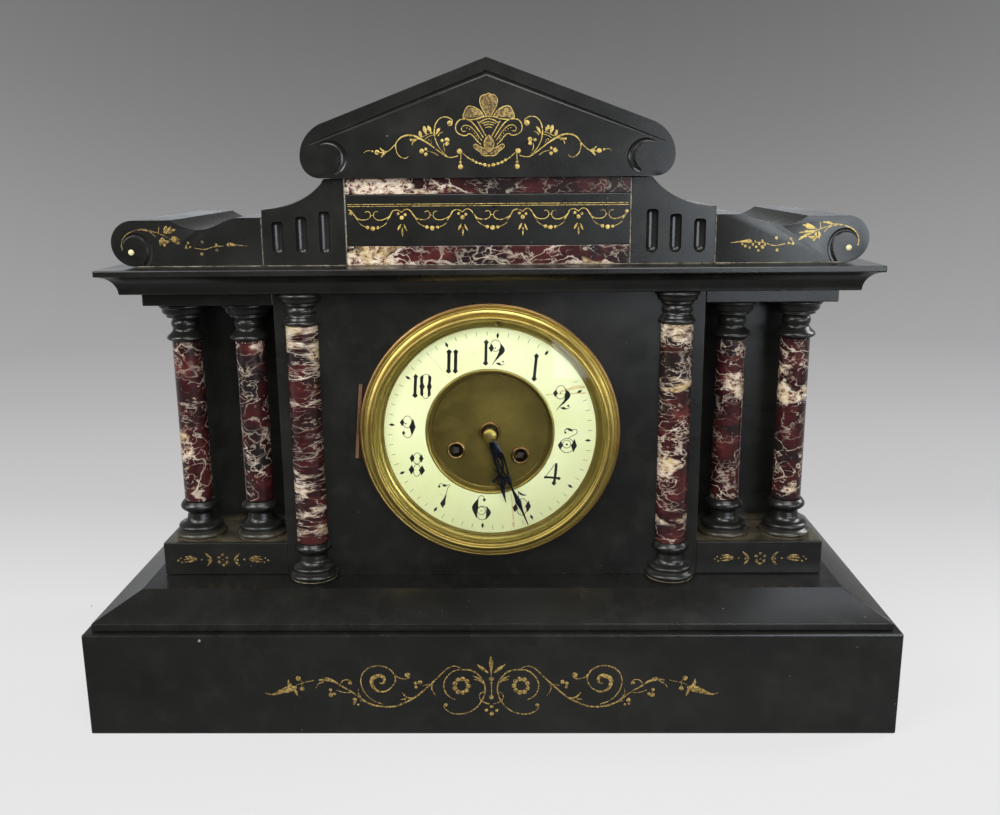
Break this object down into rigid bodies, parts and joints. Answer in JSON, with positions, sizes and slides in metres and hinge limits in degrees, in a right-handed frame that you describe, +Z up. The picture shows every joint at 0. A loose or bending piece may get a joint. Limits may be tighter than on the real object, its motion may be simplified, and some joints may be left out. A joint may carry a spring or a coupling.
{
  "type": "mantel clock",
  "caption": "Black slate mantel clock in the form of a small temple: marble columns, stepped attic, pediment, hinged round bezel, cream dial and a striking movement.",
  "frame": {"origin": "middle of the flat underside of the base", "axes": "+X to the right seen from the dial, +Y to the back, +Z up"},
  "size_m": [0.51, 0.206, 0.4133],
  "materials": {
    "slate": "honed near-black slate with a dull polish",
    "marble": "polished dark red marble with cream and grey veins",
    "brass": "aged polished brass",
    "dull_brass": "matt olive-brown brass",
    "movement_brass": "plain brass",
    "bell_metal": "turned bell bronze",
    "enamel": "cream enamel with black numerals",
    "blued_steel": "blue-black steel",
    "steel": "turned steel",
    "glass": "clear flat glass"
  },
  "bodies": {
    "case": {"base_plinth": "slate", "base_moulding": "slate", "pedestal_left": "slate", "pedestal_right": "slate", "side_wall_left": "slate", "side_wall_right": "slate", "architrave_left": "slate", "architrave_right": "slate", "column_shaft_outer_left": "marble", "column_shaft_middle_left": "marble", "column_shaft_outer_right": "marble", "column_shaft_middle_right": "marble", "half_column_foot_left": "slate", "half_column_foot_right": "slate", "half_column_shaft_left": "marble", "half_column_shaft_right": "marble", "half_column_cap_left": "slate", "half_column_cap_right": "slate", "front_panel": "slate", "back_panel": "slate", "cornice": "slate", "marble_strip_lower": "marble", "frieze_block": "slate", "marble_strip_upper": "marble", "flute_block_left": "slate", "flute_block_right": "slate", "scroll_block_left": "slate", "scroll_block_right": "slate", "pediment": "slate", "dial_surround": "brass", "chapter_ring": "enamel", "dial_centre": "dull_brass", "front_plate": "movement_brass", "back_plate": "movement_brass", "suspension_cock": "movement_brass", "bell": "bell_metal", "rear_ring": "brass"},
    "bezel_door": {"bezel_ring": "brass", "bezel_glass": "glass"},
    "centre_arbor": {"centre_wheel": "movement_brass", "minute_hand": "blued_steel", "hand_nut": "brass"},
    "hour_pipe": {"hour_wheel": "movement_brass", "hour_hand": "blued_steel"},
    "minute_work": {"minute_wheel": "movement_brass"},
    "intermediate_arbor": {"intermediate_wheel": "movement_brass"},
    "third_arbor": {"third_wheel": "movement_brass"},
    "escape_arbor": {"escape_wheel": "movement_brass"},
    "going_drum": {"going_barrel": "movement_brass"},
    "strike_drum": {"strike_barrel": "movement_brass"},
    "pin_arbor": {"pin_wheel": "movement_brass"},
    "going_key_arbor": {"going_winding_arbor": "steel"},
    "strike_key_arbor": {"strike_winding_arbor": "steel"},
    "anchor": {"pallet_anchor": "steel"},
    "pendulum": {"pendulum_rod": "movement_brass", "pendulum_bob": "movement_brass"},
    "bell_hammer": {"hammer": "steel"},
    "regulator": {"regulator_arbor": "steel"},
    "back_door": {"rear_door": "brass"}
  },
  "joints": [
    {"name": "bezel_hinge", "type": "hinge", "parent": "case", "child": "bezel_door", "pos_m": [-0.08388, -0.0517, 0.19184], "axis": [-0.0872, 0, -0.9962], "range_deg": [0, 100]},
    {"name": "back_door_hinge", "type": "hinge", "parent": "case", "child": "back_door", "pos_m": [0.08129, 0.0986, 0.17739], "axis": [-0.0872, 0, -0.9962], "range_deg": [0, 100]},
    {"name": "minute_turn", "type": "hinge", "parent": "case", "child": "centre_arbor", "pos_m": [0, -0.04, 0.1845], "axis": [0, 1, 0], "continuous": true},
    {"name": "hour_turn", "type": "hinge", "parent": "case", "child": "hour_pipe", "pos_m": [0, -0.05, 0.1845], "axis": [0, 1, 0], "continuous": true},
    {"name": "minute_wheel_turn", "type": "hinge", "parent": "case", "child": "minute_work", "pos_m": [-0.00105, -0.043, 0.17255], "axis": [0, 1, 0], "continuous": true},
    {"name": "intermediate_turn", "type": "hinge", "parent": "case", "child": "intermediate_arbor", "pos_m": [0.01597, -0.022, 0.19167], "axis": [0, 1, 0], "continuous": true},
    {"name": "third_turn", "type": "hinge", "parent": "case", "child": "third_arbor", "pos_m": [-0.00447, -0.022, 0.20119], "axis": [0, 1, 0], "continuous": true},
    {"name": "escape_turn", "type": "hinge", "parent": "case", "child": "escape_arbor", "pos_m": [0.00255, -0.022, 0.21363], "axis": [0, 1, 0], "continuous": true},
    {"name": "going_barrel_turn", "type": "hinge", "parent": "case", "child": "going_drum", "pos_m": [0.01951, -0.022, 0.16884], "axis": [0, 1, 0], "continuous": true},
    {"name": "strike_barrel_turn", "type": "hinge", "parent": "case", "child": "strike_drum", "pos_m": [-0.02193, -0.022, 0.17247], "axis": [0, 1, 0], "continuous": true},
    {"name": "pin_wheel_turn", "type": "hinge", "parent": "case", "child": "pin_arbor", "pos_m": [-0.02791, -0.022, 0.19478], "axis": [0, 1, 0], "continuous": true},
    {"name": "going_winding", "type": "hinge", "parent": "case", "child": "going_key_arbor", "pos_m": [0.01951, -0.03, 0.16884], "axis": [0, 1, 0], "range_deg": [-90, 1440]},
    {"name": "strike_winding", "type": "hinge", "parent": "case", "child": "strike_key_arbor", "pos_m": [-0.02193, -0.03, 0.17247], "axis": [0, 1, 0], "range_deg": [-90, 1440]},
    {"name": "pendulum_swing", "type": "hinge", "parent": "case", "child": "pendulum", "pos_m": [0.00371, 0.007, 0.22687], "axis": [0, 1, 0], "range_deg": [-4.5, 4.5]},
    {"name": "anchor_rock", "type": "hinge", "parent": "case", "child": "anchor", "pos_m": [0.00371, -0.02, 0.22687], "axis": [0, 1, 0], "range_deg": [-4.5, 4.5]},
    {"name": "hammer_lift", "type": "hinge", "parent": "case", "child": "bell_hammer", "pos_m": [-0.03594, -0.02, 0.20973], "axis": [0, 1, 0], "range_deg": [0, 12]},
    {"name": "regulator_turn", "type": "hinge", "parent": "case", "child": "regulator", "pos_m": [0.00618, -0.03, 0.25513], "axis": [0, 1, 0], "range_deg": [-720, 720]}
  ],
  "couplings": [
    {"joint": "hour_turn", "follows": "minute_turn", "ratio": 0.083333},
    {"joint": "minute_wheel_turn", "follows": "minute_turn", "ratio": -0.33333},
    {"joint": "intermediate_turn", "follows": "minute_turn", "ratio": -0.16667},
    {"joint": "going_barrel_turn", "follows": "minute_turn", "ratio": 0.027778},
    {"joint": "third_turn", "follows": "minute_turn", "ratio": -8},
    {"joint": "escape_turn", "follows": "minute_turn", "ratio": 60},
    {"joint": "pin_wheel_turn", "follows": "strike_barrel_turn", "ratio": -6},
    {"joint": "anchor_rock", "follows": "pendulum_swing", "ratio": 1}
  ]
}
